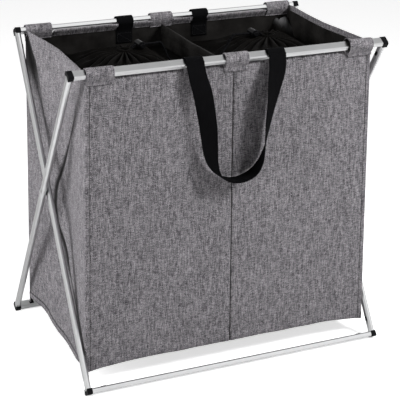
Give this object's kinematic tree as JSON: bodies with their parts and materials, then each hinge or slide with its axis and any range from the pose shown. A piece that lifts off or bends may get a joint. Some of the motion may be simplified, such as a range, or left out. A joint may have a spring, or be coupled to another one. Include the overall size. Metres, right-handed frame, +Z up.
{
  "type": "laundry hamper with two bins",
  "caption": "Folding laundry hamper: a hanging cloth bag with a divider, gathered closures and webbing handles on crossed metal frames.",
  "frame": {"origin": "on the floor under the middle of the hamper", "axes": "+X to the right seen from the front, along the rails; front towards -Y; +Z up"},
  "size_m": [0.602, 0.4012, 0.5793],
  "materials": {
    "aluminium_tube": "bright satin tube",
    "rivet": "satin",
    "black_plastic": "moulded, half matt",
    "nylon_washer": "smooth",
    "spring_steel": "drawn wire",
    "grey_cloth": "coarse plain weave, coated inside",
    "black_lining": "smooth closely woven lining",
    "black_webbing": "woven webbing and cord"
  },
  "bodies": {
    "outer_frame": {"outer_top_rail": "aluminium_tube", "outer_bottom_rail": "aluminium_tube", "outer_leg_left": "aluminium_tube", "outer_leg_right": "aluminium_tube", "outer_connector_top_left": "black_plastic", "outer_connector_top_right": "black_plastic", "outer_connector_bottom_left": "black_plastic", "outer_connector_bottom_right": "black_plastic", "pivot_rivet_left": "rivet", "pivot_rivet_right": "rivet", "pivot_washer_left": "nylon_washer", "pivot_washer_right": "nylon_washer"},
    "inner_frame": {"inner_top_rail": "aluminium_tube", "inner_bottom_rail": "aluminium_tube", "inner_leg_left": "aluminium_tube", "inner_leg_right": "aluminium_tube", "inner_connector_top_left": "black_plastic", "inner_connector_top_right": "black_plastic", "inner_connector_bottom_left": "black_plastic", "inner_connector_bottom_right": "black_plastic"},
    "bag_front": {"front_panel": "grey_cloth", "front_loop_left": "grey_cloth", "front_loop_centre": "grey_cloth", "front_loop_right": "grey_cloth", "front_handle_tab_left": "black_webbing", "front_handle_tab_right": "black_webbing", "left_side_panel": "grey_cloth", "right_side_panel": "grey_cloth", "base_panel": "black_lining", "divider": "black_lining", "left_collar": "black_lining", "right_collar": "black_lining", "left_drawstring_inner": "black_webbing", "left_drawstring_outer": "black_webbing", "right_drawstring_inner": "black_webbing", "right_drawstring_outer": "black_webbing"},
    "bag_back": {"back_panel": "grey_cloth", "back_loop_left": "grey_cloth", "back_loop_centre": "grey_cloth", "back_loop_right": "grey_cloth", "back_handle_tab_left": "black_webbing", "back_handle_tab_right": "black_webbing"},
    "front_handle": {"front_handle": "black_webbing"},
    "back_handle": {"back_handle": "black_webbing"},
    "drawn_mouths": {"left_drawstring_ring": "black_webbing", "right_drawstring_ring": "black_webbing"},
    "cord_knots": {"left_cord_knot": "black_webbing", "right_cord_knot": "black_webbing"},
    "left_lock": {"left_cord_lock": "black_plastic", "left_lock_spring": "spring_steel"},
    "right_lock": {"right_cord_lock": "black_plastic", "right_lock_spring": "spring_steel"},
    "left_button": {"left_lock_button": "black_plastic"},
    "right_button": {"right_lock_button": "black_plastic"}
  },
  "joints": [
    {"name": "fold", "type": "hinge", "parent": "outer_frame", "child": "inner_frame", "pos_m": [0, 0, 0.31301], "axis": [1, 0, 0], "range_deg": [0, 56], "deforming": ["left_side_panel", "right_side_panel", "base_panel", "divider", "left_collar", "right_collar", "left_drawstring_inner", "left_drawstring_outer", "right_drawstring_inner", "right_drawstring_outer"]},
    {"name": "front_hang", "type": "hinge", "parent": "outer_frame", "child": "bag_front", "pos_m": [0, -0.16, 0.56874], "axis": [1, 0, 0], "range_deg": [0, 28.5]},
    {"name": "back_hang", "type": "hinge", "parent": "inner_frame", "child": "bag_back", "pos_m": [0, 0.16, 0.56874], "axis": [-1, 0, 0], "range_deg": [0, 28.5]},
    {"name": "front_handle_swing", "type": "hinge", "parent": "bag_front", "child": "front_handle", "pos_m": [0, -0.16, 0.56874], "axis": [-1, 0, 0], "range_deg": [0, 160]},
    {"name": "back_handle_swing", "type": "hinge", "parent": "bag_back", "child": "back_handle", "pos_m": [0, 0.16, 0.56874], "axis": [1, 0, 0], "range_deg": [0, 160]},
    {"name": "mouth_shift", "type": "slide", "parent": "bag_front", "child": "drawn_mouths", "axis": [0, -1, 0], "range_m": [0, 0.185]},
    {"name": "knot_shift", "type": "slide", "parent": "bag_front", "child": "cord_knots", "axis": [0, -1, 0], "range_m": [0, 0.02]},
    {"name": "left_lock_slide", "type": "slide", "parent": "drawn_mouths", "child": "left_lock", "axis": [1, 0, 0], "range_m": [0, 0.02]},
    {"name": "right_lock_slide", "type": "slide", "parent": "drawn_mouths", "child": "right_lock", "axis": [-1, 0, 0], "range_m": [0, 0.02]},
    {"name": "left_button_press", "type": "slide", "parent": "left_lock", "child": "left_button", "axis": [0, 1, 0], "range_m": [0, 0.003], "stiffness_N_per_m": 300, "deforming": ["left_lock_spring"]},
    {"name": "right_button_press", "type": "slide", "parent": "right_lock", "child": "right_button", "axis": [0, 1, 0], "range_m": [0, 0.003], "stiffness_N_per_m": 300, "deforming": ["right_lock_spring"]}
  ],
  "couplings": [
    {"joint": "front_hang", "follows": "fold", "ratio": 0.5},
    {"joint": "back_hang", "follows": "fold", "ratio": 0.5},
    {"joint": "mouth_shift", "follows": "fold", "m_per_rad": 0.187},
    {"joint": "knot_shift", "follows": "fold", "m_per_rad": 0.02}
  ]
}
